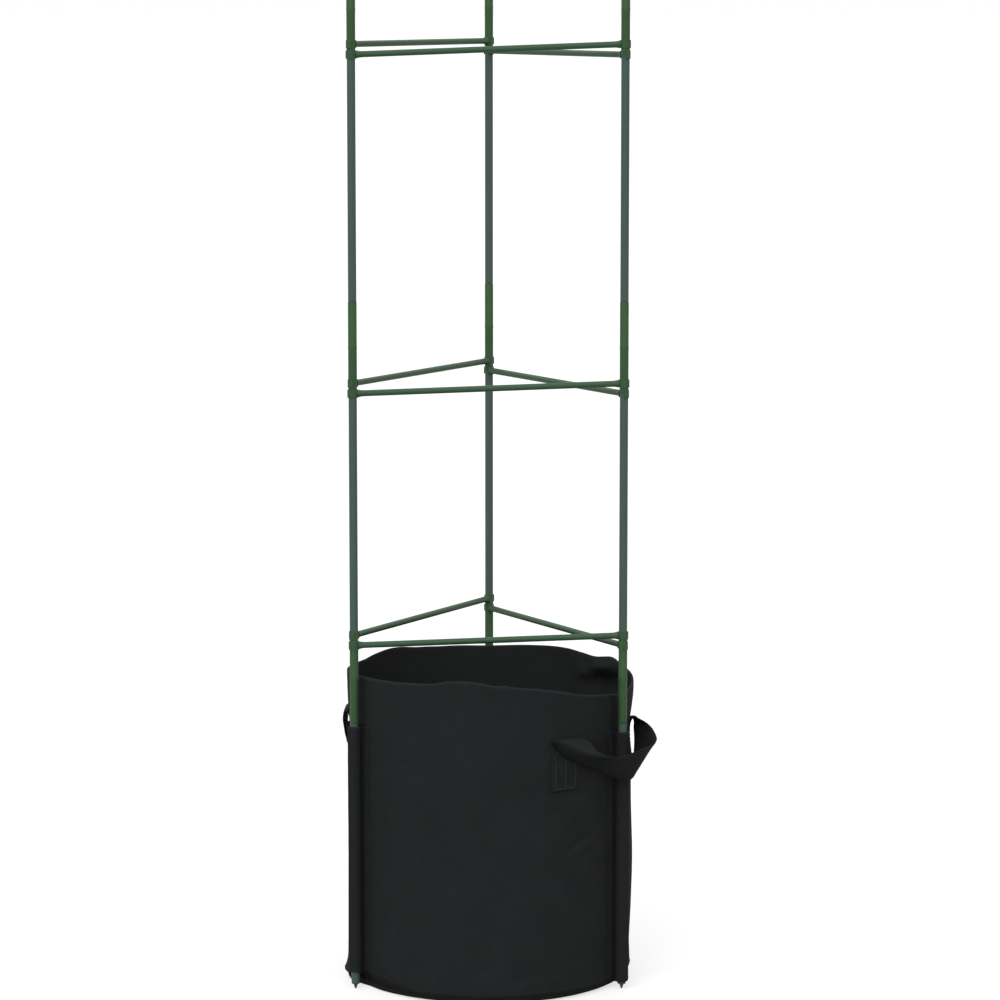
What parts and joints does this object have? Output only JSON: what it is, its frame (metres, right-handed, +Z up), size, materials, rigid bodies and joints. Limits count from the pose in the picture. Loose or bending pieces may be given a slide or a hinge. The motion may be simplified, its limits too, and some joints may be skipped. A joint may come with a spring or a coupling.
{
  "type": "tomato cage",
  "caption": "Tall plant support cage of jointed green tube poles and clip-on cross arms, held in the sleeves of a round black felt grow bag with webbing carry handles.",
  "frame": {"origin": "middle of the flat underside of the bag's base, which is also the middle of the triangle of poles", "axes": "+Z up along the poles, -Y to the front as pictured, +X to the right seen from the front"},
  "size_m": [0.309, 0.2952, 1.2655],
  "materials": {
    "coated_tube": "dull green plastic coating",
    "coupler_plastic": "satin green moulding",
    "spike_plastic": "satin green moulding",
    "arm_plastic": "satin green moulding",
    "felt": "thick needle-punched felt",
    "webbing": "woven strap"
  },
  "bodies": {
    "bag": {"bag_wall": "felt", "bag_base": "felt", "pole_sleeve_left": "felt", "pole_sleeve_right": "felt", "pole_sleeve_back": "felt", "handle_end_right_front": "webbing", "handle_end_right_back": "webbing", "handle_end_left_front": "webbing", "handle_end_left_back": "webbing"},
    "cage": {"pole_left_1": "coated_tube", "pole_left_2": "coated_tube", "pole_left_3": "coated_tube", "pole_left_4": "coated_tube", "pole_right_1": "coated_tube", "pole_right_2": "coated_tube", "pole_right_3": "coated_tube", "pole_right_4": "coated_tube", "pole_back_1": "coated_tube", "pole_back_2": "coated_tube", "pole_back_3": "coated_tube", "pole_back_4": "coated_tube", "coupler_left_1": "coupler_plastic", "coupler_left_2": "coupler_plastic", "coupler_left_3": "coupler_plastic", "coupler_right_1": "coupler_plastic", "coupler_right_2": "coupler_plastic", "coupler_right_3": "coupler_plastic", "coupler_back_1": "coupler_plastic", "coupler_back_2": "coupler_plastic", "coupler_back_3": "coupler_plastic", "ground_spike_left": "spike_plastic", "ground_spike_right": "spike_plastic", "ground_spike_back": "spike_plastic", "pole_cap_left": "coupler_plastic", "pole_cap_right": "coupler_plastic", "pole_cap_back": "coupler_plastic"},
    "handle_right": {"handle_right": "webbing"},
    "handle_left": {"handle_left": "webbing"},
    "arm_front_1": {"arm_front_1": "arm_plastic"},
    "arm_front_2": {"arm_front_2": "arm_plastic"},
    "arm_front_3": {"arm_front_3": "arm_plastic"},
    "arm_back_left_1": {"arm_back_left_1": "arm_plastic"},
    "arm_back_left_2": {"arm_back_left_2": "arm_plastic"},
    "arm_back_left_3": {"arm_back_left_3": "arm_plastic"},
    "arm_back_right_1": {"arm_back_right_1": "arm_plastic"},
    "arm_back_right_2": {"arm_back_right_2": "arm_plastic"},
    "arm_back_right_3": {"arm_back_right_3": "arm_plastic"}
  },
  "joints": [
    {"name": "cage_lift", "type": "slide", "parent": "bag", "child": "cage", "axis": [0, 0, 1], "range_m": [0, 0.27]},
    {"name": "handle_right_lift", "type": "hinge", "parent": "bag", "child": "handle_right", "pos_m": [0.07398, -0.12287, 0.259], "axis": [-0.4962, -0.8682, 0], "range_deg": [0, 60]},
    {"name": "handle_left_lift", "type": "hinge", "parent": "bag", "child": "handle_left", "pos_m": [-0.14297, 0.01138, 0.259], "axis": [0.5556, 0.8315, 0], "range_deg": [0, 95]},
    {"name": "arm_front_1_slide", "type": "slide", "parent": "cage", "child": "arm_front_1", "axis": [0, 0, 1], "range_m": [-0.02, 0.105]},
    {"name": "arm_back_left_1_slide", "type": "slide", "parent": "cage", "child": "arm_back_left_1", "axis": [0, 0, 1], "range_m": [-0.02, 0.105]},
    {"name": "arm_back_right_1_slide", "type": "slide", "parent": "cage", "child": "arm_back_right_1", "axis": [0, 0, 1], "range_m": [-0.02, 0.105]},
    {"name": "arm_front_2_slide", "type": "slide", "parent": "cage", "child": "arm_front_2", "axis": [0, 0, 1], "range_m": [-0.115, 0.145]},
    {"name": "arm_back_left_2_slide", "type": "slide", "parent": "cage", "child": "arm_back_left_2", "axis": [0, 0, 1], "range_m": [-0.115, 0.145]},
    {"name": "arm_back_right_2_slide", "type": "slide", "parent": "cage", "child": "arm_back_right_2", "axis": [0, 0, 1], "range_m": [-0.115, 0.145]},
    {"name": "arm_front_3_slide", "type": "slide", "parent": "cage", "child": "arm_front_3", "axis": [0, 0, 1], "range_m": [-0.15, 0.34]},
    {"name": "arm_back_left_3_slide", "type": "slide", "parent": "cage", "child": "arm_back_left_3", "axis": [0, 0, 1], "range_m": [-0.15, 0.34]},
    {"name": "arm_back_right_3_slide", "type": "slide", "parent": "cage", "child": "arm_back_right_3", "axis": [0, 0, 1], "range_m": [-0.15, 0.34]}
  ],
  "couplings": [
    {"joint": "arm_back_left_1_slide", "follows": "arm_front_1_slide", "ratio": 1},
    {"joint": "arm_back_right_1_slide", "follows": "arm_front_1_slide", "ratio": 1},
    {"joint": "arm_back_left_2_slide", "follows": "arm_front_2_slide", "ratio": 1},
    {"joint": "arm_back_right_2_slide", "follows": "arm_front_2_slide", "ratio": 1},
    {"joint": "arm_back_left_3_slide", "follows": "arm_front_3_slide", "ratio": 1},
    {"joint": "arm_back_right_3_slide", "follows": "arm_front_3_slide", "ratio": 1}
  ]
}
